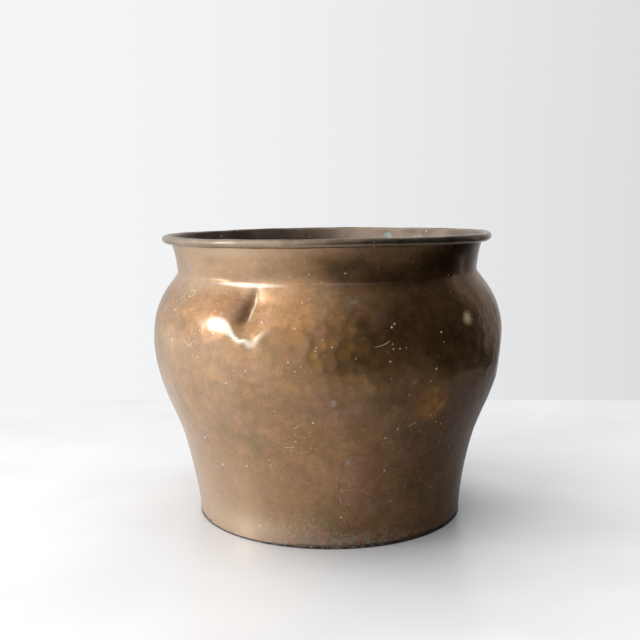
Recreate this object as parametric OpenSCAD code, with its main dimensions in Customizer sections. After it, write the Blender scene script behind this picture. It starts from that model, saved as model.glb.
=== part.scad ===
// Brass planter pot.
// A hammered sheet body stands on a narrow foot, swells to a round belly, turns in at a crease
// and opens again in a short neck, whose edge is rolled outwards over a wire.
// A separate flanged disc is soldered into the foot as the base.
// Millimetres, +Z up. The origin is on the ground, on the pot's axis.

/* [Body sheet] */
// Thickness of the body sheet
sheet_t = 0.9; // [0.7:0.1:1.1]
// Outside radius of the foot at the ground
foot_r = 103.5; // [101:0.5:106]
// Outside radius where the hollow lower wall turns into the belly
flare_r = 115; // [113:0.5:117]
// Height of that turn
flare_z = 65; // [60:1:70]
// Lean of the wall at that turn, degrees outwards from upright
flare_lean = 18; // [15:1:22]
// Outside radius of the belly at its widest
belly_r = 136; // [133:0.5:139]
// Height of the belly's widest place
belly_z = 137.5; // [132:0.5:142]
// Outside radius of the crease between shoulder and neck
crease_r = 116; // [113:0.5:118]
// Height of the crease
crease_z = 189; // [186:0.5:192]
// Lean of the shoulder as it meets the crease, degrees inwards from upright
shoulder_lean = 26.5; // [20:0.5:40]

/* [Rim] */
// Outside radius of the rolled rim
rim_r = 127; // [125:0.5:129]
// Height of the rolled rim's top, which is the height of the pot
rim_top_z = 217.8; // [215:0.2:221]
// Lean of the neck as it runs into the roll, degrees outwards from upright
neck_lean = 21; // [12:1:28]
// Diameter of the wire inside the roll
wire_d = 4.2; // [3.6:0.1:4.6]
// Room between the wire and the sheet rolled over it
wire_room = 0.05; // [0.04:0.01:0.1]
// Angle that the sheet goes round the wire before its cut edge, degrees
roll_wrap = 311; // [290:1:311]
// Angle left open between the two butted ends of the wire, degrees
wire_gap = 0.5; // [0.3:0.1:2]

/* [Base] */
// Thickness of the base disc
base_t = 1.0; // [0.8:0.1:1.2]
// Height of the base disc's upturned flange
flange_h = 8; // [7:0.5:10]
// Outside radius of the bend between the disc and its flange
bend_r = 2; // [1.6:0.1:3]
// Room for solder between the flange and the foot, at the ground
lap_gap = 0.15; // [0.1:0.05:0.3]
// Radius of the raised panel in the middle of the base
panel_r = 86; // [80:1:90]
// Width of the slope around the raised panel
panel_slope = 5; // [4:0.5:8]
// Height that the panel is raised off the ground
panel_rise = 2; // [1:0.25:3]

/* [Solder] */
// How far the solder spreads over the flange's top edge
solder_in = 0.8; // [0.4:0.1:0.8]
// Width of the solder's hollow face, as a share of the way up to the wall
solder_hollow = 0.35; // [0.2:0.05:0.5]

/* [Hidden] */
// Facets of the preview around the axis
$fn = 120;
// Segments along each stretch of the body's outline
FLARE_STEPS = 12;
BELLY_STEPS = 14;
SHOULDER_STEPS = 14;
NECK_STEPS = 8;
ROLL_STEPS = 26;
BEND_STEPS = 5;
// Reach of each curve's pull at its two ends
FOOT_PULL = 24;
FLARE_PULL = [4, 24];
BELLY_PULL = [30, 33];
CREASE_PULL = [9.5, 18];
RIM_PULL = 2;
// Lean of the neck just above the crease, degrees outwards from upright
NECK_START_LEAN = 3;

// Centre and radii of the rolled rim
roll_in_r = wire_d / 2 + wire_room;
bead_r = roll_in_r + sheet_t;
wire_c = [rim_r - bead_r, rim_top_z - bead_r];
// The roll starts on the neck's side of the wire and turns over the top, outwards and down
roll_start = 180 - neck_lean;

// Outside radius of the base disc's flange
lap_r = foot_r - sheet_t - lap_gap;

// Direction of travel up a wall that leans out by so many degrees
function lean(deg) = [sin(deg), cos(deg)];

// Normal of a direction of travel, on the side of the pot's axis
function inward(dir) = [-dir[1], dir[0]];

// Point at share t of the cubic curve through a and d, pulled towards b and c
function curve_at(k, t) =
    pow(1 - t, 3) * k[0] + 3 * pow(1 - t, 2) * t * k[1]
    + 3 * (1 - t) * t * t * k[2] + pow(t, 3) * k[3];

// Direction of travel of that curve at share t
function curve_dir(k, t) =
    let (v = pow(1 - t, 2) * (k[1] - k[0]) + 2 * (1 - t) * t * (k[2] - k[1])
             + t * t * (k[3] - k[2]))
    v / norm(v);

// Points of a curve in so many steps, each moved towards the axis by depth
function side_of(k, steps, depth) =
    [for (i = [0 : steps])
        curve_at(k, i / steps) + depth * inward(curve_dir(k, i / steps))];

// Points of an arc about c
function arc(c, r, from, to, steps) =
    [for (i = [0 : steps])
        let (a = from + (to - from) * i / steps)
        c + r * [cos(a), sin(a)]];

// All points but the first, where one stretch carries on from another without a corner
function rest(points) = [for (i = [1 : len(points) - 1]) points[i]];

function reversed(points) = [for (i = [len(points) - 1 : -1 : 0]) points[i]];

// Share f of the way from point i to the next one
function between(points, i, f) = points[i] * (1 - f) + points[i + 1] * f;

// The four stretches of the body's outer outline, from the ground up
foot = [foot_r, 0];
flare = [flare_r, flare_z];
belly = [belly_r, belly_z];
crease = [crease_r, crease_z];
neck_top = wire_c + roll_in_r * [cos(roll_start), sin(roll_start)];

flare_curve = [
    foot,
    foot + FOOT_PULL * lean(0),
    flare - FLARE_PULL[0] * lean(flare_lean),
    flare
];
belly_curve = [
    flare,
    flare + FLARE_PULL[1] * lean(flare_lean),
    belly - BELLY_PULL[0] * lean(0),
    belly
];
shoulder_curve = [
    belly,
    belly + BELLY_PULL[1] * lean(0),
    crease - CREASE_PULL[0] * lean(-shoulder_lean),
    crease
];
neck_curve = [
    crease,
    crease + CREASE_PULL[1] * lean(NECK_START_LEAN),
    neck_top - RIM_PULL * lean(neck_lean),
    neck_top
];

// One face of the sheet from the ground to the roll: depth 0 is outside, sheet_t is inside
function wall(depth) = concat(
    side_of(flare_curve, FLARE_STEPS, depth),
    rest(side_of(belly_curve, BELLY_STEPS, depth)),
    rest(side_of(shoulder_curve, SHOULDER_STEPS, depth)),
    side_of(neck_curve, NECK_STEPS, depth)
);

// One face of the sheet where it goes round the wire
function roll(r) = rest(arc(wire_c, r, roll_start, roll_start - roll_wrap, ROLL_STEPS));

// Outline of the base disc's lower or upper face, from the axis to the flange's top edge
function disc_face(lift, r, bend, slope_shift) = concat(
    [
        [0, panel_rise + lift],
        [panel_r + slope_shift, panel_rise + lift],
        [panel_r + panel_slope + slope_shift, lift]
    ],
    arc([lap_r - bend_r, bend_r], bend, -90, 0, BEND_STEPS),
    [[r, flange_h]]
);

module revolved(outline) {
    rotate_extrude()
        polygon(outline);
}

// The hammered body: one sheet from the foot's cut edge to the edge tucked under the rim
module body_shell() {
    color("#8a6a3c")
        revolved(concat(
            wall(0),
            roll(roll_in_r),
            reversed(roll(bead_r)),
            reversed(wall(sheet_t))
        ));
}

// The wire that stiffens the rim, bent to a ring with its ends butted
module rim_wire() {
    color("#5d5a55")
        rotate_extrude(angle = 360 - wire_gap)
            translate(wire_c)
                circle(d = wire_d, $fn = 32);
}

// The base: a disc with a raised middle and an upturned flange
module base_disc() {
    color("#7d6037")
        revolved(concat(
            disc_face(0, lap_r, bend_r, 0),
            reversed(disc_face(base_t, lap_r - base_t, bend_r - base_t, base_t / 4))
        ));
}

// The soft solder that fills the lap between flange and foot and ends in a hollow fillet
module base_solder() {
    inside = wall(sheet_t);
    low = between(inside, 0, 0.2);
    top = between(inside, 1, 0.6);
    lip = [lap_r - solder_in, flange_h];
    color("#8e8d86")
        revolved([
            [lap_r, low[1]],
            low,
            inside[1],
            top,
            [top[0] - solder_hollow * (top[0] - lip[0]), lip[1] + solder_hollow * (top[1] - lip[1])],
            lip,
            [lap_r, flange_h]
        ]);
}

body_shell();
rim_wire();
base_disc();
base_solder();
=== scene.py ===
import math

import bpy
import numpy as np
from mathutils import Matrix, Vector


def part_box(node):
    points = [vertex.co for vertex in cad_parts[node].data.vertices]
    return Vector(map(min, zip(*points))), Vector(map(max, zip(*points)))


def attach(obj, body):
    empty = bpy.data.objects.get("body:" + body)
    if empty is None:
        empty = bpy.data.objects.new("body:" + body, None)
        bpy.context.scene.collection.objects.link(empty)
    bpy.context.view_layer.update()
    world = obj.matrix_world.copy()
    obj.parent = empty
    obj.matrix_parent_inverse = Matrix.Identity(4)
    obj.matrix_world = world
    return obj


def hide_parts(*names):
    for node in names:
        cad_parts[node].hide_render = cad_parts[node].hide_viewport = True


# A brass planter pot: a hammered sheet body, rolled over a wire at the rim, with a flanged disc
# soldered into its foot. Metres, +Z up, the origin on the ground on the pot's axis.
# Angles around the pot are in radians from its front (-Y) towards its right (+X).

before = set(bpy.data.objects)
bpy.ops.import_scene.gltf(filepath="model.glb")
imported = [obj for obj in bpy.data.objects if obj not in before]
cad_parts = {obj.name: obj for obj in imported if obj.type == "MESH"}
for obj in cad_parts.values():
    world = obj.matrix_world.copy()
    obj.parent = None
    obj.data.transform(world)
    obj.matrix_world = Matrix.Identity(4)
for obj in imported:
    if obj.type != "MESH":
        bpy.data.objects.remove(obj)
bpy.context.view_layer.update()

# ---------------------------------------------------------------- the pot's measures

MM = 0.001
_, shell_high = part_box("body_shell")
wire_low, wire_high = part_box("rim_wire")
_, disc_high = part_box("base_disc")

# The sheet's thickness, the room around the wire in its roll and the gap that solder fills
SHEET = 0.9 * MM
WIRE_ROOM = 0.05 * MM
LAP_GAP = 0.15 * MM
WIRE_R = (wire_high.z - wire_low.z) / 2
WIRE_AT = np.array([wire_high.x - WIRE_R, (wire_high.z + wire_low.z) / 2])
ROLL_R = WIRE_R + WIRE_ROOM
BEAD_R = ROLL_R + SHEET
BELLY_R = shell_high.x
LAP_R = disc_high.x
FLANGE_TOP = disc_high.z
FOOT_R = LAP_R + LAP_GAP + SHEET

# Where the outline turns: radius and height
FOOT = np.array([FOOT_R, 0.0])
FLARE = np.array([115.0, 65.0]) * MM
BELLY = np.array([BELLY_R, 137.5 * MM])
CREASE = np.array([116.0, 189.0]) * MM
# How the wall leans there, in degrees outwards from upright
FLARE_LEAN = 18
SHOULDER_LEAN = -26.5
NECK_LEAN = 3
RIM_LEAN = 21
# The roll goes round the wire by this much, in degrees
ROLL_WRAP = 311
# Rows near the foot stand closer together than higher up, by this power
FOOT_CROWDING = 1.3

# Columns of points around the body. They stand closer together at one angle, by a share, than
# on the far side.
COLUMNS = 448
FINE_SIDE = math.radians(-14)
FINE_SHARE = 0.42


def lean(degrees):
    """Direction of travel up a wall that leans outwards by so many degrees."""
    return np.array([math.sin(math.radians(degrees)), math.cos(math.radians(degrees))])


NECK_TOP = WIRE_AT + ROLL_R * lean(RIM_LEAN - 90)

STRETCHES = {
    "flare": (FOOT, FOOT + 24 * MM * lean(0), FLARE - 4 * MM * lean(FLARE_LEAN), FLARE),
    "belly": (FLARE, FLARE + 24 * MM * lean(FLARE_LEAN), BELLY - 30 * MM * lean(0), BELLY),
    "shoulder": (
        BELLY,
        BELLY + 33 * MM * lean(0),
        CREASE - 9.5 * MM * lean(SHOULDER_LEAN),
        CREASE,
    ),
    "neck": (
        CREASE,
        CREASE + 18 * MM * lean(NECK_LEAN),
        NECK_TOP - 2 * MM * lean(RIM_LEAN),
        NECK_TOP,
    ),
}


def smooth(x, low, high):
    """0 below low, 1 above high, and an S-shaped ramp between."""
    t = np.clip((x - low) / (high - low), 0, 1)
    return t * t * (3 - 2 * t)


def bump(x, centre, half):
    """1 at centre, falling in a bell to nothing about three halves away."""
    return np.exp(-(((x - centre) / half) ** 2))


def cubic(pulls, t):
    """Points and unit directions, at shares t, of the cubic curve through the first and last
    of four points, pulled by the two between: weights (1-t)^3, 3(1-t)^2 t, 3(1-t) t^2, t^3."""
    a, b, c, d = pulls
    t = t[:, None]
    s = 1 - t
    point = s**3 * a + 3 * s * s * t * b + 3 * s * t * t * c + t**3 * d
    along = s * s * (b - a) + 2 * s * t * (c - b) + t * t * (d - c)
    return point, along / np.linalg.norm(along, axis=1, keepdims=True)


def wall_rows(counts):
    """Rows up the outer wall, so many on each stretch: points and outward normals."""
    points, normals = [], []
    for name, count in counts.items():
        share = np.linspace(0, 1, count, endpoint=name == "neck")
        if name == "flare":
            share = share**FOOT_CROWDING
        point, along = cubic(STRETCHES[name], share)
        points.append(point)
        normals.append(np.stack([along[:, 1], -along[:, 0]], 1))
    return np.concatenate(points), np.concatenate(normals)


def column_angles(count=COLUMNS):
    """Angles around the pot: u - share * sin(u - side), which packs them on one side."""
    u = np.linspace(-math.pi, math.pi, count, endpoint=False)
    return u - FINE_SHARE * np.sin(u - FINE_SIDE)


OUTLINE, _ = wall_rows({"flare": 200, "belly": 200, "shoulder": 200, "neck": 100})
OUTLINE_REACH = np.concatenate(
    [[0], np.cumsum(np.linalg.norm(np.diff(OUTLINE, axis=0), axis=1))]
)


def radius_at(height):
    """Radius of the outer outline at a height."""
    return np.interp(height, OUTLINE[:, 1], OUTLINE[:, 0])


# ---------------------------------------------------------------- hammer marks, dents and lean

# A hammer mark's usual width, the height between rings of marks, and its depth
MARK = 9.5 * MM
MARK_ROW = 8.0 * MM
MARK_DEPTH = 0.14 * MM
# How far marks stray from their even places and differ in size, as shares
MARK_STRAY = 0.8
MARK_SMALLEST = 0.8
MARK_SPREAD = 0.55


def scatter(a, b, salt):
    """A number from 0 to 1 for each pair a, b, scattered by a large sine."""
    x = np.sin(a * 127.1 + b * 311.7 + salt * 74.7) * 43758.5453
    return x - np.floor(x)


def hammer_marks(angle, height):
    """How far each point is from the middle of its hammer mark, 0 in the middle and about 1 on
    the ridges, and that mark's own number from 0 to 1. Marks sit in rings up the wall,
    scattered about even places, and a point belongs to the mark nearest for its size."""
    reach = np.interp(height, OUTLINE[:, 1], OUTLINE_REACH)
    ring = np.floor(reach / MARK_ROW)
    nearest = np.full(np.broadcast(angle, height).shape, 9.0)
    number = np.zeros(nearest.shape)
    for up in (-1, 0, 1):
        k = ring + up
        middle = np.interp((k + 0.5) * MARK_ROW, OUTLINE_REACH, OUTLINE[:, 0])
        count = np.round(2 * math.pi * middle / MARK)
        turn = angle / (2 * math.pi) * count + scatter(k, 0, 1)
        for side in (-1, 0, 1):
            c = np.floor(turn) + side
            own = np.mod(c, count)
            stray_across = MARK_STRAY * (scatter(k, own, 2) - 0.5)
            stray_along = MARK_STRAY * (scatter(k, own, 3) - 0.5)
            across = (turn - c - 0.5 - stray_across) * MARK
            along = reach - (k + 0.5 + stray_along) * MARK_ROW
            size = MARK / 2 * (MARK_SMALLEST + MARK_SPREAD * scatter(k, own, 4))
            far = (across**2 + along**2) / size**2
            number = np.where(far < nearest, scatter(k, own, 5), number)
            nearest = np.minimum(nearest, far)
    return nearest, number


def hammer_strength(height):
    """The marks are deepest round the belly, faint near the foot and gone at the neck: the
    product of four ramps up the wall."""
    low = 0.35 + 0.65 * smooth(height, 70 * MM, 105 * MM)
    foot = smooth(height, 2 * MM, 14 * MM)
    shoulder = 1 - 0.8 * smooth(height, 160 * MM, 180 * MM)
    neck = 1 - smooth(height, 180 * MM, 190 * MM)
    return low * foot * shoulder * neck


def waves(angle, height):
    """Slow unevenness of hand work, in metres: three sines around and up the wall, gone at the
    foot and the rim."""
    between = smooth(height, 4 * MM, 40 * MM) * (1 - smooth(height, 192 * MM, 210 * MM))
    wave = 0.35 * np.sin(3 * angle + 0.7 + 14 * height)
    wave = wave + 0.3 * np.sin(5 * angle + 2.1 - 23 * height)
    wave = wave + 0.22 * np.sin(8 * angle - 1.3 + 47 * height)
    return wave * MM * between


# The big dent on the front left of the shoulder, struck from outside and slightly from below,
# and how far the crease above it lifts, as a share of its depth
DENT_ANGLE = math.radians(-26.5)
DENT_LOW, DENT_HIGH = 151 * MM, 189 * MM
DENT_DEPTH = 8 * MM
DENT_UPWARD = math.radians(17)
CREASE_LIFT = 0.08


def dent_place(angle, height):
    """Where a point lies in the big dent: metres to the right of its curved valley, the share
    of the way up it, and the same share held between its ends."""
    up = (height - DENT_LOW) / (DENT_HIGH - DENT_LOW)
    inside = np.clip(up, 0, 1.3)
    valley = (0.5 + 4 * inside - 4 * inside**2 + 3.5 * inside**3) * MM
    return (angle - DENT_ANGLE) * radius_at(height) - valley, up, inside


def dent_share(angle, height):
    """Depth of the big dent, from 0 to about 1: ramp * deep * top, plus the sharp fold.
    Across, ramp is 1 in the valley and falls in a rounded V to 0 at the flanks, and a soft
    maximum, (v + sqrt(v^2 + lip^2)) / 2, lets it run out gently. Upwards, deep rises from the
    lip as 1 - exp(-3.2 u) and top takes it back under the crease."""
    across, up, inside = dent_place(angle, height)
    on_left = across < 0
    left = (12.5 + 9.5 * smooth(inside, 0, 0.5)) * MM
    right = (10 + 20 * smooth(inside, 0, 0.6)) * MM
    share = np.abs(across) / np.where(on_left, left, right)
    round_off = 0.006 + 0.06 * (1 - smooth(inside, 0, 0.45))
    valley = 1 - np.sqrt(share**2 + round_off) + round_off
    left_lip = 0.22 + 0.45 * smooth(inside, 0.3, 0.8)
    right_lip = 0.50 + 0.25 * smooth(inside, 0.2, 0.7)
    lip = np.where(on_left, left_lip, right_lip)
    ramp = (valley + np.sqrt(valley**2 + lip**2)) / 2
    up = up - 0.22 * smooth(-across, -2 * MM, 20 * MM)
    soft = 0.05 + 0.35 * smooth(across, 3 * MM, 13 * MM)
    bottom = (up + np.sqrt(up**2 + soft**2)) / 2
    deep = 1.12 * (1 - np.exp(-3.2 * bottom))
    top = 1 - 0.72 * smooth(up, 0.62, 1.02) - 0.28 * smooth(up, 1.0, 1.3)
    fold_half = np.where(on_left, 4.5 * MM, 2.5 * MM)
    fold = np.exp(-np.sqrt((across / fold_half) ** 2 + 0.02))
    fold = 0.17 * fold * smooth(up, 0.15, 0.45) * (1 - smooth(up, 0.80, 1.0))
    return ramp * deep * top * (1 - smooth(share, 1.6, 3.2)) + fold


# Shallower knocks around the pot: angle in degrees, height, radius and depth in mm
KNOCKS = [
    (78, 127, 13, 1.8),
    (64, 160, 16, 0.9),
    (47, 118, 18, 0.6),
    (9, 178, 10, 0.35),
    (-68, 120, 20, 0.8),
    (118, 142, 17, 1.3),
    (151, 96, 24, 1.5),
    (-142, 155, 15, 1.6),
    (-118, 70, 26, 0.9),
    (-165, 40, 19, 0.8),
    (96, 52, 22, 0.7),
]


def small_dents(angle, height):
    """Depth of the knocks, each a round dish: depth * exp(-(distance / radius)^2.8)."""
    depth = np.zeros(np.broadcast(angle, height).shape)
    for at, up, size, deep in KNOCKS:
        gap = np.angle(np.exp(1j * (angle - math.radians(at))))
        across = gap * radius_at(up * MM) / (size * MM)
        along = (height - up * MM) / (size * MM)
        depth = depth + deep * MM * np.exp(-(across**2 + along**2) ** 1.4)
    return depth


def rim_flutter(angle):
    """How far the rim rises and falls around the pot, in metres: three sines."""
    rise = 0.22 * np.sin(4 * angle + 1.0) + 0.12 * np.sin(9 * angle)
    return (rise + 0.08 * np.sin(23 * angle + 2.0)) * MM


# How far the pot leans to its left, the height from which it leans fully, and how deep its
# foot is worn where it is worn most
LEAN = math.radians(0.7)
LEAN_FROM = 55 * MM
FOOT_WEAR = 0.5 * MM


def settled(points):
    """The pot's slight lean to its left. Points turn about the front-to-back line through the
    origin, by nothing at the foot and by the whole lean above the lower wall."""
    x, y, z = points[..., 0], points[..., 1], points[..., 2]
    turn = LEAN * smooth(z, 0, LEAN_FROM)
    return np.stack([x - z * np.sin(turn), y, z + x * np.sin(turn)], -1)


def around(radius, height, angle):
    """Points on circles about the pot's axis."""
    radius, height, angle = np.broadcast_arrays(radius, height, angle)
    return np.stack([radius * np.sin(angle), -radius * np.cos(angle), height], -1)


def struck(base, normal, angle):
    """Wall points moved by the hammer marks, waves and dents. base and normal are rows of the
    outer outline; the result is the shift of each point from its even place."""
    height = base[:, 1][:, None]
    angle = angle[None, :]
    marks, number = hammer_marks(angle, height)
    depth = MARK_DEPTH * (0.6 + 0.8 * number)
    undented = 1 - 0.8 * np.clip(2 * dent_share(angle, height), 0, 1)
    shift = depth * (np.minimum(marks, 1.7) - 0.7) * hammer_strength(height) * undented
    shift = shift + waves(angle, height) - small_dents(angle, height)
    outward = around(normal[:, 0][:, None], normal[:, 1][:, None], angle)
    dent = dent_share(angle, height)[..., None] * DENT_DEPTH
    push = around(math.cos(DENT_UPWARD), math.sin(DENT_UPWARD), np.array(DENT_ANGLE))
    lift = np.array([0, 0, CREASE_LIFT]) * bump(height, CREASE[1], 7 * MM)[..., None]
    return shift[..., None] * outward - dent * (push - lift)


# ---------------------------------------------------------------- meshes


def sheet_mesh(name, points, round_rows=True, poles=False):
    """A mesh from a grid of points, rows by columns, closed around its columns. It is closed
    over its rows as well, or by a pole at the first and last row where poles is true. Normals
    point to the side where columns run to the right as rows run up."""
    rows, columns = points.shape[:2]
    index = np.arange(rows * columns).reshape(rows, columns)
    right = np.roll(index, -1, axis=1)
    low, low_right = index, right
    high, high_right = np.roll(index, -1, axis=0), np.roll(right, -1, axis=0)
    quads = np.stack([low, low_right, high_right, high], -1)
    if not round_rows:
        quads = quads[:-1]
    faces = quads.reshape(-1, 4).tolist()
    vertices = points.reshape(-1, 3)
    if poles:
        first, last = len(vertices), len(vertices) + 1
        vertices = np.concatenate([vertices, [points[0].mean(0), points[-1].mean(0)]])
        faces += np.stack([right[0], index[0], np.full(columns, first)], -1).tolist()
        faces += np.stack([index[-1], right[-1], np.full(columns, last)], -1).tolist()
    mesh = bpy.data.meshes.new(name)
    mesh.from_pydata(vertices, [], faces)
    mesh.polygons.foreach_set("use_smooth", np.ones(len(mesh.polygons), bool))
    mesh.update()
    piece = bpy.data.objects.new(name, mesh)
    bpy.context.scene.collection.objects.link(piece)
    return piece


def point_value(piece, name, values):
    """Stores one number for each point of the piece, for its material to read."""
    layer = piece.data.attributes.new(name, "FLOAT", "POINT")
    layer.data.foreach_set("value", np.asarray(values, np.float32).ravel())


def carried_round(rows, angle):
    """Rows of radius and height, carried around the axis to every angle."""
    return around(rows[:, 0][:, None], rows[:, 1][:, None], angle)


def round_wire(radius, shares):
    """Rows round the wire's centre at a radius, at shares of the way round the roll."""
    turn = math.radians(180 - RIM_LEAN) - math.radians(ROLL_WRAP) * shares
    return WIRE_AT + radius * np.stack([np.cos(turn), np.sin(turn)], 1)


def body_shell():
    """The hammered sheet: up the outer wall, round the wire, back over the rolled rim and
    down the inner wall to the foot's cut edge, each row carried around the axis."""
    angle = column_angles()
    outer, outer_normal = wall_rows({"flare": 30, "belly": 38, "shoulder": 50, "neck": 20})
    inner, inner_normal = wall_rows({"flare": 8, "belly": 12, "shoulder": 20, "neck": 7})
    inner, inner_normal = inner[::-1], inner_normal[::-1]
    under = round_wire(ROLL_R, np.linspace(0, 1, 12)[1:])
    bead = round_wire(BEAD_R, np.linspace(1, 0, 22)[:-1])
    roll = np.concatenate([under, bead])
    wall_out = carried_round(outer, angle) + struck(outer, outer_normal, angle)
    wall_in = carried_round(inner - SHEET * inner_normal, angle)
    wall_in = wall_in + struck(inner, inner_normal, angle)
    points = np.concatenate([wall_out, carried_round(roll, angle), wall_in])

    foot = 1 - smooth(points[..., 2], 0, 9 * MM)
    worn = bump(angle, math.radians(44), 0.34) + bump(angle, math.radians(-12), 0.25)
    points[..., 2] += FOOT_WEAR * worn * foot
    points[..., 2] += rim_flutter(angle) * smooth(points[..., 2], 196 * MM, 212 * MM)
    piece = sheet_mesh("body_shell", settled(points))

    side = np.repeat([0, 1, 2], [len(outer), len(roll), len(inner)])[:, None] + 0 * angle
    height = np.concatenate([outer[:, 1], roll[:, 1], inner[:, 1]])[:, None]
    point_value(piece, "inside", side == 2)
    point_value(piece, "rolled", side == 1)
    point_value(piece, "wear_and_painted_highlight", wear_and_painted_highlight(height, angle) * (side == 0))
    # pale: how much painted sheen and highlight lightens the skin
    point_value(piece, "pale", sheen_painted_on_skin(height, angle))
    point_value(piece, "painted_darkening", darkening_painted_on_skin(height, angle))
    soil(piece, height, angle)
    hammered_tones(piece, height, angle)
    return piece


def hammered_tones(piece, height, angle):
    """Each hammer mark's own tone, lighter in its middle, and the golden dapples of some marks
    at the front of the belly."""
    marks, number = hammer_marks(angle[None, :], height)
    tone = 0.45 * (number - 0.5) + 0.30 * (0.5 - np.clip(marks, 0, 1.2))
    point_value(piece, "tone", 0.5 + tone * hammer_strength(height))
    dapple = 0.35 + 0.65 * smooth(number, 0.35, 0.7) * (1 - smooth(marks, 0.2, 0.9))
    dapple = dapple * bump(height, 146 * MM, 19 * MM) * bump(angle, math.radians(6), 0.38)
    point_value(piece, "dapple", dapple)


def soil(piece, height, angle):
    """Grime and a painted contact shadow along the foot, wiped off at the left but for a thin line,
    the lime splashed above it at the front, and crumbs of dirt to the left."""
    wiped = 1 - 0.8 * bump(angle, math.radians(-38), 0.32)
    dark_edge = (1 - smooth(height, 1.2 * MM, 8 * MM)) * wiped
    # A thin painted contact shadow along the very bottom, kept where the dirt is wiped off
    dark_edge = np.maximum(dark_edge, 1 - smooth(height, 0.6 * MM, 2.4 * MM))
    point_value(piece, "foot", dark_edge)
    splash = (1 - smooth(height, 3 * MM, 15 * MM)) * bump(angle, math.radians(8), 0.5)
    point_value(piece, "splash", splash)
    crumbs = (1 - smooth(height, 8 * MM, 34 * MM)) * bump(angle, math.radians(-24), 0.62)
    point_value(piece, "crumbs", crumbs)


def sheen_painted_on_skin(height, angle):
    """How much painted sheen lightens the skin: on the lit left side, most of all low down, less
    on the shoulder, and as painted highlights in patches on the neck, under the rim and at
    the foot."""
    low = 1.9 - 0.9 * smooth(height, 10 * MM, 90 * MM)
    shoulder = smooth(height, 142 * MM, 162 * MM) * (1 - smooth(height, 176 * MM, 186 * MM))
    wide = 0.76 + 0.24 * smooth(height, 70 * MM, 110 * MM)
    pale = (low - 0.8 * shoulder) * bump(angle, math.radians(-61), wide)
    near_dent = math.radians(-34)
    neck = 0.15 * bump(angle, near_dent, 0.30) * smooth(height, 168 * MM, 188 * MM)
    under_rim = 0.9 * bump(angle, near_dent, 0.40) * smooth(height, 203 * MM, 209 * MM)
    foot = 1.5 * bump(angle, near_dent, 0.36) * bump(height, 8 * MM, 11 * MM)
    return pale + neck + under_rim + foot


def darkening_painted_on_skin(height, angle):
    """How far the skin is darkened: painted shade on the right, turned from the light, less on the
    shoulder and low down, darker in two bands at the front of the belly, and painted shade in
    the valley of the big dent."""
    right = 1 - smooth(height, 112 * MM, 140 * MM) + smooth(height, 188 * MM, 196 * MM)
    right = right - 0.15 * (1 - smooth(height, 60 * MM, 90 * MM))
    right = right * bump(angle, math.radians(62), 1.05)
    front = 0.36 * bump(height, 145 * MM, 17 * MM) + 0.22 * bump(height, 110 * MM, 13 * MM)
    front = front * bump(angle, math.radians(-1), 0.36)
    across, up, _ = dent_place(angle[None, :], height)
    valley = 0.8 * bump(across, -3.5 * MM, 3.5 * MM) * smooth(up, 0.15, 0.4)
    valley = valley * (1 - smooth(up, 0.75, 0.95))
    return right + front + valley


def wear_and_painted_highlight(height, angle):
    """How far the brown is worn away, with the window's highlights painted on it as well: along
    the crease's lower edge, on the lip of the dent, on the fold in its valley and in a faint
    line under the crease."""
    crease = bump(height, CREASE[1] - 2.2 * MM, 1.5 * MM)
    crease = crease * (0.10 + 0.90 * bump(angle, math.radians(-28), 0.20))
    shares = dent_share(angle[None, :], height)
    wide = 0.065 + 0.075 * smooth(height, 153 * MM, 161 * MM)
    lip = 1.1 * bump(shares, 0.10, wide) * smooth(height, 143 * MM, 150 * MM)
    lip = lip * (1 - smooth(height, 160 * MM, 170 * MM)) * bump(angle, DENT_ANGLE - 0.08, 0.20)
    across, up, _ = dent_place(angle[None, :], height)
    fold = 0.75 * bump(across, 1.4 * MM, 0.9 * MM) * smooth(up, 0.25, 0.45)
    fold = fold * (1 - smooth(up, 0.72, 0.9))
    line = 0.45 * bump(height, CREASE[1] - 1.2 * MM, 0.9 * MM)
    line = line * bump(angle, math.radians(12), 0.42)
    return np.clip(np.maximum(np.maximum(crease, lip), np.maximum(fold, line)), 0, 1)


def rim_wire():
    """The wire in the roll: circles of its own radius, carried round the axis on the roll's
    centre line, its ends cut square and almost touching at the back."""
    gap = math.radians(0.25)
    ring = np.linspace(-math.pi + gap, math.pi - gap, 240)
    turn = np.linspace(0, 2 * math.pi, 16, endpoint=False)
    radius = WIRE_AT[0] + WIRE_R * np.cos(turn)
    height = WIRE_AT[1] + WIRE_R * np.sin(turn)
    height = height[None, :] + rim_flutter(ring)[:, None]
    points = around(radius[None, :], height, ring[:, None])
    return sheet_mesh("rim_wire", settled(points), round_rows=False, poles=True)


# The base disc: its raised middle's radius, the slope around that, how far the middle is
# raised, the metal's thickness, the flange's outer bend and the hammer's unevenness
PANEL_R = 86 * MM
PANEL_SLOPE = 5 * MM
PANEL_RISE = 2 * MM
BASE_T = 1.0 * MM
BEND_R = 2 * MM
BASE_UNEVEN = 0.3 * MM


def pairs(radius, height):
    """Rows of radius and height from a list and a number, or from two lists."""
    return np.stack(np.broadcast_arrays(radius, height), 1)


def disc_rows(lift, reach, bend, shift):
    """One face of the base disc, from near the axis to the flange's top edge: the raised
    middle, the slope down from it, the ring it stands on, the bend and the flange."""
    middle = np.linspace(0.004, PANEL_R - 1.5 * MM, 34)
    slope = np.linspace(-0.3, 1.3, 9)
    ring = np.linspace(PANEL_R + 8 * MM, LAP_R - BEND_R - MM, 4)
    turn = np.radians(np.linspace(-90, 0, 7))
    flange = np.linspace(BEND_R + MM, FLANGE_TOP, 5)
    rows = [
        pairs(middle, PANEL_RISE + lift),
        pairs(PANEL_R + shift + slope * PANEL_SLOPE, PANEL_RISE * (1 - smooth(slope, 0, 1)) + lift),
        pairs(ring, lift),
        np.array([LAP_R - BEND_R, BEND_R]) + bend * pairs(np.cos(turn), np.sin(turn)),
        pairs(reach, flange),
    ]
    return np.concatenate(rows)


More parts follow.
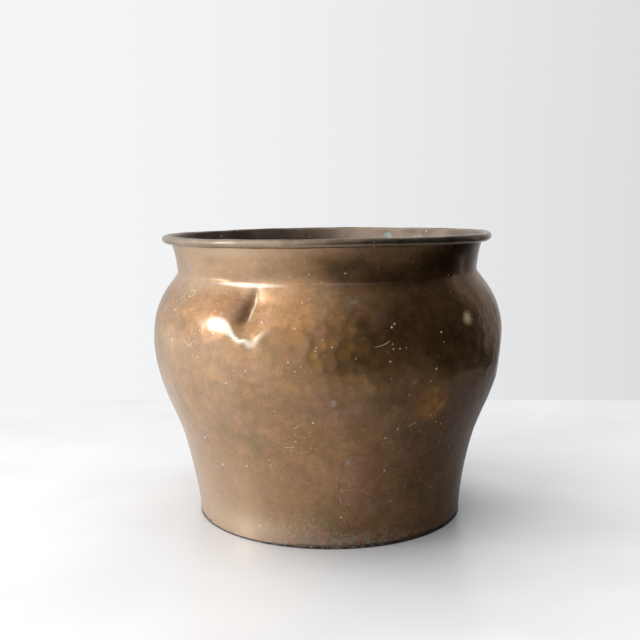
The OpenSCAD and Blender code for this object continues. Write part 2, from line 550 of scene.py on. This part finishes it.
def base_disc():
    """The base: a disc with a raised middle and an upturned flange, turned about the axis, its
    raised middle uneven from the hammer and painted shade darkening the bend at its edge
    outside."""
    angle = np.linspace(-math.pi, math.pi, 240, endpoint=False)
    lower = disc_rows(0.0, LAP_R, BEND_R, 0.0)
    upper = disc_rows(BASE_T, LAP_R - BASE_T, BEND_R - BASE_T, BASE_T / 4)
    outline = np.concatenate([lower, upper[::-1]])
    points = carried_round(outline, angle)
    x, y = points[..., 0], points[..., 1]
    uneven = np.sin(70 * x + 1.3) * np.sin(63 * y + 0.4) + 0.6 * np.sin(140 * x + 95 * y)
    in_middle = 1 - smooth(outline[:, 0], 70 * MM, PANEL_R)
    points[..., 2] += BASE_UNEVEN * uneven * in_middle[:, None]
    piece = sheet_mesh("base_disc", points, round_rows=False, poles=True)
    outside = np.arange(len(outline)) < len(lower)
    bend_shade = (smooth(outline[:, 0], 99.5 * MM, 101.8 * MM) * outside)[:, None] + 0 * angle
    at_poles = [0, 0]
    point_value(piece, "foot", np.append(bend_shade.ravel(), at_poles))
    return piece


# The solder: where its film in the lap starts, how far the fillet climbs the wall and reaches
# in over the flange, how hollow its free face is and how lumpy
LAP_LOW = 1.2 * MM
FILLET_UP = 2.6 * MM
FILLET_IN = 0.8 * MM
HOLLOW = 0.55 * MM
LUMPY = 0.12 * MM


def base_solder():
    """The solder: the thin film between flange and foot and the hollow fillet above it,
    carried round the axis, with a lumpy free face."""
    angle = np.linspace(-math.pi, math.pi, 300, endpoint=False)
    heights = np.linspace(LAP_LOW, FLANGE_TOP + FILLET_UP, 8)
    wall = pairs(radius_at(heights) - SHEET, heights)
    lip = np.array([LAP_R - FILLET_IN, FLANGE_TOP])
    share = np.linspace(0, 1, 7)[1:]
    free = wall[-1] + (lip - wall[-1]) * share[:, None]
    free = free + np.array([1, -1]) * HOLLOW * np.sin(math.pi * share)[:, None]
    lap = pairs(LAP_R, np.linspace(FLANGE_TOP, LAP_LOW, 4))
    outline = np.concatenate([wall, free, lap])
    points = carried_round(outline, angle)
    lumps = np.sin(31 * angle) + 0.7 * np.sin(57 * angle + 1.1) + 0.5 * np.sin(11 * angle + 0.3)
    is_free = np.zeros(len(outline))
    is_free[len(wall) : len(wall) + len(free) - 1] = 1
    points[..., 2] += LUMPY * lumps * is_free[:, None]
    return sheet_mesh("base_solder", settled(points)[::-1])


# ---------------------------------------------------------------- materials


class Finish:
    """A material's node tree, with a short call for each kind of node it needs."""

    def __init__(self, name):
        self.material = bpy.data.materials.new(name)
        self.material.use_nodes = True
        self.tree = self.material.node_tree
        self.tree.nodes.clear()
        self.coordinates = self.tree.nodes.new("ShaderNodeTexCoord").outputs["Object"]
        self.shader = self.tree.nodes.new("ShaderNodeBsdfPrincipled")
        output = self.tree.nodes.new("ShaderNodeOutputMaterial")
        self.surface = output.inputs["Surface"]
        self.tree.links.new(self.shader.outputs["BSDF"], self.surface)

    def feed(self, socket, value):
        """Sets a socket, or links it where value is another node's output. Colours are given
        as red, green and blue."""
        if isinstance(value, bpy.types.NodeSocket):
            self.tree.links.new(value, socket)
        elif socket.type == "RGBA":
            socket.default_value = (*value, 1)
        else:
            socket.default_value = value

    def set(self, **values):
        """Feeds the shader's sockets, by name with _ for a space."""
        for name, value in values.items():
            self.feed(self.shader.inputs[name.replace("_", " ")], value)

    def node(self, kind, inputs, output=0, **settings):
        """Adds a node with its settings, feeds its sockets and gives one of its outputs."""
        made = self.tree.nodes.new("ShaderNode" + kind)
        for key, value in settings.items():
            setattr(made, key, value)
        for key, value in inputs.items():
            self.feed(made.inputs[key], value)
        return made.outputs[output]

    def noise(self, size, detail=3.0, rough=0.55, seed=0.0, stretch=(1, 1, 1), twist=0.0):
        """Soft noise from 0 to 1 whose blots are about size metres across."""
        at = self.node(
            "Mapping",
            {"Vector": self.coordinates, "Location": (seed, -seed, 2 * seed), "Scale": stretch},
        )
        inputs = {"Vector": at, "Scale": 1 / size, "Detail": detail}
        inputs.update({"Roughness": rough, "Distortion": twist})
        return self.node("TexNoise", inputs)

    def ramp(self, value, low, high, to_low=0.0, to_high=1.0):
        """value from low to high, mapped smoothly to to_low and to_high."""
        inputs = {"Value": value, "From Min": low, "From Max": high}
        inputs.update({"To Min": to_low, "To Max": to_high})
        return self.node("MapRange", inputs, interpolation_type="SMOOTHSTEP")

    def math(self, operation, a, b=0.0):
        """Arithmetic on two values; the next three are its commonest kinds."""
        return self.node("Math", {0: a, 1: b}, operation=operation)

    def plus(self, a, b):
        return self.math("ADD", a, b)

    def minus(self, a, b):
        return self.math("SUBTRACT", a, b)

    def times(self, a, b):
        return self.math("MULTIPLY", a, b)

    def strongest(self, first, *others):
        """The largest of several values at each point."""
        for value in others:
            first = self.math("MAXIMUM", first, value)
        return first

    def attribute(self, name):
        """One of the numbers stored for each point of the piece."""
        return self.node("Attribute", {}, output="Fac", attribute_name=name)

    def mix(self, share, a, b, blend="MIX"):
        """Colour a, going to b where share is 1."""
        made = self.tree.nodes.new("ShaderNodeMix")
        made.data_type = "RGBA"
        made.blend_type = blend
        self.feed(made.inputs[0], share)
        self.feed(made.inputs[6], a)
        self.feed(made.inputs[7], b)
        return made.outputs[2]

    def bumps(self, height, depth, under=None):
        """A bump normal: height from 0 to 1 stands for depth metres."""
        inputs = {"Height": height, "Distance": depth, "Strength": 1.0}
        if under is not None:
            inputs["Normal"] = under
        return self.node("Bump", inputs)


# Colours of the old brass, as linear red, green and blue: the skin's patches
GOLDEN = (0.41, 0.225, 0.100)
BROWN = (0.27, 0.140, 0.060)
OLIVE = (0.22, 0.160, 0.062)
ROSY = (0.38, 0.200, 0.125)
COPPER = (0.33, 0.160, 0.056)
ORANGE = (0.50, 0.225, 0.060)
DAPPLE = (0.50, 0.25, 0.070)
# worn bright with painted highlights, painted sheen on the lit side and painted shade at its
# darkest
WEAR_AND_HIGHLIGHT_COLOUR = (0.84, 0.78, 0.67)
PAINTED_SHEEN = (0.66, 0.50, 0.35)
PAINTED_SHADE = (0.070, 0.033, 0.011)
# the rolled rim and the inside, each from its darker to its lighter clouds
RIM_TONES = (0.20, 0.150, 0.105), (0.33, 0.255, 0.185)
INSIDE_TONES = (0.10, 0.070, 0.050), (0.24, 0.175, 0.130)
# stains, scratches and what sticks to the brass, a painted glint, and the dirt and painted contact
# shadow along the foot
PAINTED_GLINT_COLOUR = (0.74, 0.70, 0.40)
VERDIGRIS = (0.20, 0.31, 0.27)
SMUDGE = (0.42, 0.42, 0.36)
PALE_RING = (0.60, 0.55, 0.45)
BLUE_GREY = (0.38, 0.40, 0.38)
SCRATCHED = (0.62, 0.56, 0.46)
OLD_PAINT = (0.66, 0.62, 0.54)
DUST = (0.58, 0.53, 0.46)
LIME_TONES = (0.40, 0.29, 0.24), (0.31, 0.32, 0.25)
FOOT_GRIME_AND_SHADOW_TONES = (0.010, 0.007, 0.005), (0.27, 0.20, 0.16)

# Blots and flecks on the wall: angle in degrees, height and radius in mm
BLUE_SPOTS = [(1, 111, 2.0), (2, 104, 1.7), (4, 86, 1.2), (6, 66, 2.0)]
PAINT_FLECKS = [
    (-49, 75, 0.8),
    (-43, 56, 0.9),
    (-31, 59, 0.7),
    (-51, 27, 0.9),
    (-29, 13, 0.9),
    (-5, 97, 0.7),
    (-57, 167, 0.7),
    (-55, 146, 0.9),
    (-41, 138, 0.6),
    (32, 130, 0.8),
    (19, 162, 0.6),
    (18, 160, 0.7),
    (18, 146, 0.5),
    (20, 146, 0.5),
    (17, 138, 0.6),
]
# Scratches: angle in degrees and height in mm of one end, then the other's, and the width in mm
SCRATCHES = [
    (12.5, 147, 17.5, 151, 0.35),
    (-11, 92, -9, 95, 0.4),
    (-52, 108, -49, 98, 0.35),
    (-61, 206, -58, 191, 0.3),
    (-48, 147, -43, 143, 0.35),
    (-46, 143, -43, 148, 0.35),
    (-15, 77, -11, 78, 0.4),
    (25, 90, 28, 93, 0.35),
    (3, 40, 4, 35, 0.3),
]


def specks(f, size, rarity, seed):
    """Small dots of old paint in clusters: one in each cell of an uneven net, size metres
    apart, whose own number is above rarity, where a slower noise allows them."""
    at = f.node("Mapping", {"Vector": f.coordinates, "Location": (seed, seed, seed)})
    cell = f.tree.nodes.new("ShaderNodeTexVoronoi")
    f.feed(cell.inputs["Vector"], at)
    f.feed(cell.inputs["Scale"], 1 / size)
    chance = f.node("SeparateColor", {"Color": cell.outputs["Color"]})
    breadth = f.node("SeparateColor", {"Color": cell.outputs["Color"]}, output=1)
    reach = f.plus(0.05, f.times(breadth, 0.10))
    dot = f.math("LESS_THAN", cell.outputs["Distance"], reach)
    picked = f.math("GREATER_THAN", chance, rarity)
    there = f.ramp(f.noise(0.022, 2, 0.5, seed + 4.0), 0.46, 0.58)
    return f.times(f.times(dot, picked), there)


def on_wall(degrees, height, out=0.0):
    """The point on the leaning outer wall at an angle in degrees and a height in mm."""
    angle = math.radians(degrees)
    point = around(radius_at(height * MM) + out, height * MM, np.array(angle))
    return tuple(float(v) for v in settled(point))


def spot(f, centre, radius, edge=0.35, ragged=0.5):
    """1 inside a round blot, falling off towards its ragged edge."""
    ends = {0: f.coordinates, 1: centre}
    far = f.node("VectorMath", ends, "Value", operation="DISTANCE")
    rag = f.noise(radius * 0.6, 3, 0.6, centre[0] * 50)
    far = f.plus(far, f.times(rag, ragged * radius))
    far = f.minus(far, ragged * radius / 2)
    return f.ramp(far, radius * (1 - edge), radius * (1 + edge), 1.0, 0.0)


def spots(f, marks, edge, ragged):
    """1 inside any of several blots on the wall: angle in degrees, height and radius in mm."""
    each = [spot(f, on_wall(a, up), size * MM, edge, ragged) for a, up, size in marks]
    return f.strongest(*each)


def scratch(f, start, end, wide):
    """1 along a fine line from one point of the wall to another, slightly bowed: the distance
    across it is side + 25 * reach^2, reach being the distance along it from its middle. The
    mark goes on straight through the pot, so the far wall has it as well."""
    a, b = np.array(start), np.array(end)
    along = (b - a) / np.linalg.norm(b - a)
    across = np.cross(along, a * (1, 1, 0))
    across = across / np.linalg.norm(across)
    middle = tuple((a + b) / 2)
    rel = f.node("VectorMath", {0: f.coordinates, 1: middle}, operation="SUBTRACT")
    reach = f.node("VectorMath", {0: rel, 1: tuple(along)}, "Value", operation="DOT_PRODUCT")
    side = f.node("VectorMath", {0: rel, 1: tuple(across)}, "Value", operation="DOT_PRODUCT")
    half = float(np.linalg.norm(b - a)) / 2
    side = f.plus(side, f.times(f.times(reach, reach), 25.0))
    near = f.ramp(f.math("ABSOLUTE", side), wide * 0.4, wide, 1.0, 0.0)
    ends = f.ramp(f.math("ABSOLUTE", reach), half * 0.7, half, 1.0, 0.0)
    return f.times(near, ends)


def skin(f, clouds, blots):
    """The skin's own colour: brown to golden clouds with olive, rosy and coppery patches, each
    hammer mark in its own tone, with a fine grain, dark pits and upright wiping marks."""
    olive = f.ramp(f.noise(0.034, 3, 0.6, 12.9), 0.52, 0.68, 0, 0.6)
    rosy = f.ramp(f.noise(0.026, 3, 0.6, 21.3), 0.50, 0.66, 0, 0.7)
    coppery = f.ramp(f.noise(0.04, 4, 0.6, 33.0, stretch=(1, 1, 0.6)), 0.46, 0.66, 0, 0.6)
    colour = f.mix(f.ramp(clouds, 0.30, 0.70, 0.15, 0.95), BROWN, GOLDEN)
    colour = f.mix(olive, colour, OLIVE)
    colour = f.mix(rosy, colour, ROSY)
    colour = f.mix(coppery, colour, COPPER)
    grain = f.ramp(f.noise(0.0045, 3, 0.6, 61.0), 0.3, 0.7, 0.88, 1.12)
    pits = f.ramp(f.noise(0.0018, 2, 0.6, 71.0), 0.60, 0.72, 0, 0.26)
    finest = f.ramp(f.noise(0.0012, 2, 0.6, 75.0), 0.3, 0.7, 0.90, 1.10)
    wiped = f.ramp(f.noise(0.010, 3, 0.65, 81.0, stretch=(1, 1, 9)), 0.3, 0.7, 0.95, 1.05)
    mark_tone = f.ramp(f.attribute("tone"), 0, 1, 0.86, 1.14)
    shade = f.times(f.ramp(blots, 0.3, 0.7, 0.85, 1.14), mark_tone)
    shade = f.minus(f.times(shade, grain), pits)
    shade = f.times(f.times(shade, finest), wiped)
    grey = f.node("CombineColor", {0: shade, 1: shade, 2: shade})
    return f.mix(1.0, colour, grey, "MULTIPLY")


def golden_spots(f, colour):
    """An orange patch under the belly on the right, and the golden dapples of the hammer
    marks at the front."""
    orange = spot(f, on_wall(32.3, 105), 12 * MM, 0.5, 0.9)
    orange = f.times(orange, f.ramp(f.noise(0.006, 3, 0.6, 51.0), 0.35, 0.6, 0.25, 0.85))
    colour = f.mix(orange, colour, ORANGE)
    return f.mix(f.times(f.attribute("dapple"), 0.7), colour, DAPPLE)


def rim_and_inside(f, colour, clouds, blots, inside):
    """The rolled rim greyer than the wall, and the inside dull, with two green spots under the
    rim at the far side."""
    rim_tone = f.mix(f.ramp(blots, 0.3, 0.7), *RIM_TONES)
    colour = f.mix(f.times(f.attribute("rolled"), 0.85), colour, rim_tone)
    dull = f.mix(f.ramp(clouds, 0.35, 0.65), *INSIDE_TONES)
    left_green = spot(f, on_wall(152, 209), 4 * MM)
    right_green = spot(f, on_wall(137, 206), 6 * MM)
    green = f.strongest(right_green, left_green)
    green = f.times(green, f.ramp(f.noise(0.004, 3, 0.7, 40.0), 0.42, 0.60))
    return f.mix(inside, colour, f.mix(green, dull, VERDIGRIS))


def smudges(f, colour):
    """Grey smudges under the crease and on the rim, a pale ring to the left of the dent, and
    blue-grey spots down the front."""
    upper = spot(f, on_wall(7.7, 177), 5 * MM, 0.7, 1.4)
    lower = spot(f, on_wall(16, 170), 3 * MM, 0.5, 1.2)
    on_rim = spot(f, on_wall(20.4, 215.5, 4 * MM), 3.5 * MM, 0.5, 1.0)
    smudged = f.strongest(upper, lower, on_rim)
    smudged = f.times(smudged, f.ramp(f.noise(0.003, 3, 0.7, 31.0), 0.38, 0.62, 0, 0.42))
    colour = f.mix(smudged, colour, SMUDGE)
    ring_at = on_wall(-51, 179)
    ring = f.minus(spot(f, ring_at, 3.4 * MM, 0.2, 0.3), spot(f, ring_at, 2.2 * MM, 0.2, 0.3))
    colour = f.mix(f.times(ring, 0.55), colour, PALE_RING)
    blue = spots(f, BLUE_SPOTS, 0.6, 1.6)
    blue = f.times(blue, f.ramp(f.noise(0.0018, 3, 0.7, 91.0), 0.44, 0.58, 0, 0.55))
    return f.mix(blue, colour, BLUE_GREY)


def foot_dirt(f, colour, brown):
    """Crumbs of dust low on the wall, lime splashed above the foot and dark crusted dirt with a
    painted contact shadow along its edge. Gives the colour and where the edge is dark."""
    crumbs = f.ramp(f.noise(0.0022, 3, 0.8, 44.0), 0.57, 0.64, 0, 0.8)
    colour = f.mix(f.times(f.attribute("crumbs"), crumbs), colour, DUST)
    crust = f.ramp(f.noise(0.0035, 4, 0.7, 14.0), 0.42, 0.62)
    # Where the painted shade darkens the skin, the edge keeps its darkest tone
    not_brown = f.minus(1.0, brown)
    # The foot's edge: crusted dirt and a near-black painted contact shadow
    edge_grime_and_shadow = f.mix(f.times(crust, not_brown), *FOOT_GRIME_AND_SHADOW_TONES)
    edge = f.ramp(f.plus(f.attribute("foot"), f.times(crust, 0.25)), 0.78, 1.0)
    lime = f.ramp(f.noise(0.004, 4, 0.7, 24.0), 0.44, 0.56, 0, 0.85)
    limed = f.mix(f.ramp(f.noise(0.006, 2, 0.5, 27.0), 0.45, 0.55), *LIME_TONES)
    colour = f.mix(f.times(f.attribute("splash"), lime), colour, limed)
    return f.mix(edge, colour, edge_grime_and_shadow), edge


def aged_brass():
    """Old brass under a brown skin, in layers: the mottled skin, painted sheen on the lit side and
    painted shade on the dark side, spots and stains, a painted glint, worn edges with painted
    highlights, rim and inside, scratches, paint flecks, and crusted dirt with a painted contact
    shadow along the foot. That dark foot edge, paint and the painted glint take away some of
    the metal's shine."""
    f = Finish("aged_brass")
    # brown carries the painted shade and darkening, worn the wear with its painted highlights
    inside, worn, brown = (f.attribute(n) for n in ("inside", "wear_and_painted_highlight", "painted_darkening"))
    clouds = f.noise(0.06, 4, 0.55, 3.1, twist=0.3)
    blots = f.noise(0.013, 4, 0.6, 8.4)
    fine = f.noise(0.0025, 3, 0.6, 1.7)

    colour = skin(f, clouds, blots)
    # Painted sheen: the lit left side lighter and greyer, with painted highlights by the dent and
    # at the foot
    colour = f.mix(f.times(f.attribute("pale"), 0.34), colour, PAINTED_SHEEN)
    # Painted shade on the dark right side and in the dent's valley, and darker bands on the belly
    colour = f.mix(f.times(brown, 0.70), colour, PAINTED_SHADE)
    colour = golden_spots(f, colour)
    # A painted glint on the right of the shoulder: a small round lamp reflection, lighter and
    # greener
    painted_glint = spot(f, on_wall(46.5, 161), 4.2 * MM, 0.8, 0.9)
    colour = f.mix(f.times(painted_glint, 0.6), colour, PAINTED_GLINT_COLOUR)
    # Worn edges, lighter, with the window's highlights painted on the crease, the dent's lip and
    # its fold
    colour = f.mix(f.ramp(worn, 0.15, 0.9, 0, 0.85), colour, WEAR_AND_HIGHLIGHT_COLOUR)
    colour = rim_and_inside(f, colour, clouds, blots, inside)
    colour = smudges(f, colour)
    lines = [
        scratch(f, on_wall(a, low), on_wall(b, high), wide * MM)
        for a, low, b, high, wide in SCRATCHES
    ]
    scratched = f.strongest(*lines)
    colour = f.mix(f.times(scratched, 0.58), colour, SCRATCHED)
    paint = f.strongest(specks(f, 0.0046, 0.50, 0.0), specks(f, 0.0030, 0.62, 5.0))
    paint = f.strongest(paint, spots(f, PAINT_FLECKS, 0.5, 1.8))
    colour = f.mix(f.times(paint, 0.85), colour, OLD_PAINT)
    colour, edge = foot_dirt(f, colour, brown)

    rough = f.minus(f.ramp(blots, 0.25, 0.75, 0.31, 0.42), f.ramp(worn, 0.1, 0.9, 0.0, 0.17))
    rough = f.minus(f.plus(rough, f.times(inside, 0.08)), f.times(brown, 0.05))
    rough = f.plus(rough, f.times(edge, 0.25))
    metal = 0.90
    for cover, share in (
        (paint, 0.85),
        (inside, 0.25),
        (edge, 0.45),
        (painted_glint, 0.55),
        (scratched, 0.60),
    ):
        metal = f.minus(metal, f.times(cover, share))
    normal = f.bumps(fine, 0.02 * MM, f.bumps(blots, 0.10 * MM))
    f.set(Base_Color=colour, Roughness=rough, Metallic=metal, Normal=normal)
    f.set(Coat_Weight=0.25, Coat_Roughness=0.14, Coat_IOR=1.5)
    return f.material


def base_brass():
    """The base's brass: duller and browner than the body, scuffed on the ring it stands on, with
    green stains and painted shade darkening its bend."""
    f = Finish("base_brass")
    clouds = f.noise(0.04, 4, 0.6, 2.2)
    scuffs = f.ramp(f.noise(0.009, 5, 0.75, 5.5, stretch=(1, 0.55, 1)), 0.52, 0.72, 0, 0.6)
    green = f.ramp(f.noise(0.018, 3, 0.6, 9.0), 0.58, 0.7, 0, 0.5)
    # Painted shade: the bend near black, standing for the shadow in the gap under the foot
    dark_edge = f.times(f.attribute("foot"), 0.92)
    colour = f.mix(f.ramp(clouds, 0.35, 0.65), (0.11, 0.070, 0.035), (0.24, 0.155, 0.075))
    colour = f.mix(scuffs, colour, (0.42, 0.31, 0.18))
    colour = f.mix(green, colour, (0.12, 0.17, 0.13))
    colour = f.mix(dark_edge, colour, (0.012, 0.009, 0.006))
    rough = f.ramp(clouds, 0.3, 0.7, 0.42, 0.6)
    normal = f.bumps(f.noise(0.01, 4, 0.6, 6.1), 0.15 * MM)
    f.set(Base_Color=colour, Roughness=rough, Metallic=0.75, Normal=normal)
    return f.material


def soft_solder():
    """Dull grey solder with darker flux stains."""
    f = Finish("soft_solder")
    flux = f.ramp(f.noise(0.006, 3, 0.6, 1.0), 0.4, 0.7)
    colour = f.mix(flux, (0.42, 0.42, 0.39), (0.20, 0.17, 0.12))
    rough = f.ramp(f.noise(0.003, 3, 0.6, 4.0), 0.3, 0.7, 0.35, 0.6)
    normal = f.bumps(f.noise(0.004, 3, 0.6, 7.0), 0.15 * MM)
    f.set(Base_Color=colour, Roughness=rough, Metallic=0.8, Normal=normal)
    return f.material


def iron_wire():
    """Drawn wire, darkened, with fine lines along it."""
    f = Finish("iron_wire")
    lines = f.noise(0.0008, 2, 0.5, 2.0, stretch=(1, 1, 6))
    colour = f.mix(lines, (0.16, 0.14, 0.12), (0.36, 0.33, 0.30))
    f.set(Base_Color=colour, Roughness=f.ramp(lines, 0.3, 0.7, 0.35, 0.55), Metallic=0.9)
    return f.material


# Where light from the brass brightens the table beside the foot, and how far it reaches
GLOW_AT = (0.118, 0.045, 0)
GLOW_NEAR, GLOW_FAR = 0.01, 0.07


def white_table():
    """A pale painted table top with a very faint mottle. It is brighter beside the foot on the
    right, where the brass throws light on it, a little darker towards the back, and as the
    brass sees it, dark at its right end. Nothing of it shows from below."""
    f = Finish("white_table")
    mottle = f.ramp(f.noise(0.12, 3, 0.5, 4.0), 0.3, 0.7)
    colour = f.mix(mottle, (0.598, 0.598, 0.606), (0.645, 0.645, 0.645))
    far = f.node("VectorMath", {0: f.coordinates, 1: GLOW_AT}, "Value", operation="DISTANCE")
    colour = f.mix(f.ramp(far, GLOW_NEAR, GLOW_FAR, 0.4, 0), colour, (0.95, 0.95, 0.94))
    in_brass = f.node("LightPath", {}, "Is Glossy Ray")
    to_right = f.node("SeparateXYZ", {"Vector": f.coordinates})
    to_back = f.node("SeparateXYZ", {"Vector": f.coordinates}, output=1)
    unlit = (0.02, 0.02, 0.02)
    colour = f.mix(f.times(in_brass, f.ramp(to_right, -0.06, 0.18, 0, 0.72)), colour, unlit)
    colour = f.mix(f.ramp(to_back, -0.05, 0.33, 0, 0.09), colour, unlit)
    f.set(Base_Color=colour, Roughness=0.28, Metallic=0.0, Specular_IOR_Level=0.5)
    below = f.node("NewGeometry", {}, "Backfacing")
    clear = f.node("BsdfTransparent", {})
    shown = f.node("MixShader", {0: below, 1: f.shader.outputs["BSDF"], 2: clear})
    f.tree.links.new(shown, f.surface)
    return f.material


# ---------------------------------------------------------------- the pot


def place(piece, node, material):
    """Gives a piece its finish, hangs it from the root body and hides the part it stands for."""
    piece.data.materials.append(material)
    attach(piece, "root")
    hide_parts(node)


place(body_shell(), "body_shell", aged_brass())
place(rim_wire(), "rim_wire", iron_wire())
place(base_disc(), "base_disc", base_brass())
place(base_solder(), "base_solder", soft_solder())

# ---------------------------------------------------------------- table, light and camera

# The table top's edges, how far it lies under the pot and the radius of the hole in it
TABLE_LEFT, TABLE_RIGHT = -0.8, 0.42
TABLE_FRONT, TABLE_BACK = -0.42, 0.376
TABLE_DROP = 0.05 * MM
TABLE_HOLE = 96 * MM


def table_top():
    """A flat table top around the pot's foot, ending a little way behind it. Spokes run from
    its straight edges in to a circle hidden under the base, which leaves the base's underside
    in the light from below."""
    left_right, front_back = (TABLE_LEFT, TABLE_RIGHT), (TABLE_FRONT, TABLE_BACK)
    corners = [math.atan2(x, -y) for x in left_right for y in front_back]
    angle = np.sort(np.append(np.linspace(-3.1, 3.1, 90), corners))
    way = np.stack([np.sin(angle), -np.cos(angle)], 1)
    far_x = np.where(way[:, 0] > 0, TABLE_RIGHT, TABLE_LEFT) / way[:, 0]
    far_y = np.where(way[:, 1] > 0, TABLE_BACK, TABLE_FRONT) / way[:, 1]
    outer = way * np.minimum(far_x, far_y)[:, None]
    level = np.full((2, len(angle), 1), -TABLE_DROP)
    points = np.concatenate([np.stack([outer, way * TABLE_HOLE]), level], -1)
    table = sheet_mesh("table_top", points, round_rows=False)
    table.data.materials.append(white_table())


# What the soft lights face: the pot's axis, near the height of its belly
LIT_AT = np.array([0, 0, 0.13])


def soft_box(name, toward, distance, width, tall, power, colour=(1, 1, 1)):
    """A rectangular light of a width and height, at a distance in a direction from the pot's
    middle, facing it."""
    toward = np.array(toward) / np.linalg.norm(toward)
    light = bpy.data.lights.new(name, "AREA")
    light.shape = "RECTANGLE"
    light.size = width
    light.size_y = tall
    light.energy = power
    light.color = colour
    lamp = bpy.data.objects.new(name, light)
    lamp.location = LIT_AT + distance * toward
    lamp.rotation_mode = "QUATERNION"
    lamp.rotation_quaternion = Vector(-toward).to_track_quat("-Z", "Y")
    bpy.context.scene.collection.objects.link(lamp)
    return lamp


ROOM_COLOUR = (0.985, 0.99, 1.0, 1)


def room_light():
    """The room as it lights and shows in the brass: bright to the left, less so behind and
    above, dark to the right and in front. Looked at directly it is a pale backdrop, evenly
    darker towards the right."""
    world = bpy.data.worlds.new("room")
    bpy.context.scene.world = world
    world.use_nodes = True
    tree = world.node_tree
    tree.nodes.clear()

    def node(kind, inputs, output=0, **settings):
        """Adds a node to the room, as Finish.node does to a material."""
        made = tree.nodes.new("ShaderNode" + kind)
        for key, value in settings.items():
            setattr(made, key, value)
        for key, value in inputs.items():
            if isinstance(value, bpy.types.NodeSocket):
                tree.links.new(value, made.inputs[key])
            else:
                made.inputs[key].default_value = value
        return made.outputs[output]

    direction = node("TexCoord", {}, "Generated")

    def toward(vector, low, high, dim, bright):
        """From dim to bright as the cosine of the angle to a direction goes low to high."""
        dot = node("VectorMath", {0: direction, 1: vector}, "Value", operation="DOT_PRODUCT")
        inputs = {"Value": dot, "From Min": low, "From Max": high, "To Min": dim, "To Max": bright}
        return node("MapRange", inputs, interpolation_type="SMOOTHSTEP")

    left = toward((-0.95, -0.2, 0.2), -0.05, 0.85, 0.0, 1.45)
    behind = toward((-0.1, 0.98, 0.1), 0.5, 0.95, 0.0, 0.8)
    above = toward((-0.3, 0.1, 0.95), 0.5, 0.98, 0.0, 0.3)
    total = node("Math", {0: left, 1: behind}, operation="MAXIMUM")
    total = node("Math", {0: total, 1: above}, operation="ADD")
    backdrop = toward((1, 0, 0), -0.35, 0.9, 0.926, 0.59)
    seen = node("LightPath", {}, "Is Camera Ray")
    inputs = {"Factor": seen, "A": total, "B": backdrop}
    strength = node("Mix", inputs, data_type="FLOAT")
    shade = tree.nodes.new("ShaderNodeBackground")
    shade.inputs["Color"].default_value = ROOM_COLOUR
    tree.links.new(strength, shade.inputs["Strength"])
    output = tree.nodes.new("ShaderNodeOutputWorld")
    tree.links.new(shade.outputs["Background"], output.inputs["Surface"])


# The camera: its place, how far it is tipped down, in degrees, and its lens and sensor in mm
CAMERA_AT = (-0.0077, -0.7155, 0.2433)
CAMERA_TIP = 7.54
LENS, SENSOR = 51.24, 36


def camera():
    """Stands in front of the pot, a little above its rim, and looks slightly down at it."""
    data = bpy.data.cameras.new("camera")
    data.sensor_width = SENSOR
    data.lens = LENS
    made = bpy.data.objects.new("camera", data)
    made.location = CAMERA_AT
    made.rotation_euler = (math.radians(90 - CAMERA_TIP), 0, 0)
    bpy.context.scene.collection.objects.link(made)
    bpy.context.scene.camera = made


DAYLIGHT = (0.98, 0.99, 1.0)

table_top()
# A window on the left shows in the dent, a doorway on the right as a band on neck and belly;
# the ceiling lights everything softly and doesn't show in the brass
window = {"distance": 1.5, "width": 0.22, "tall": 0.62, "power": 4.0, "colour": DAYLIGHT}
doorway = {"distance": 1.5, "width": 0.16, "tall": 1.3, "power": 0.42}
overhead = {"distance": 1.8, "width": 2.4, "tall": 2.4, "power": 50}
soft_box("window", (-0.89, -0.27, 0.35), **window)
soft_box("doorway", (0.88, 0.47, 0.25), **doorway)
ceiling = soft_box("ceiling", (-0.1, 0.0, 1.0), **overhead)
ceiling.visible_glossy = False
room_light()
camera()
bpy.context.scene.view_settings.view_transform = "Standard"
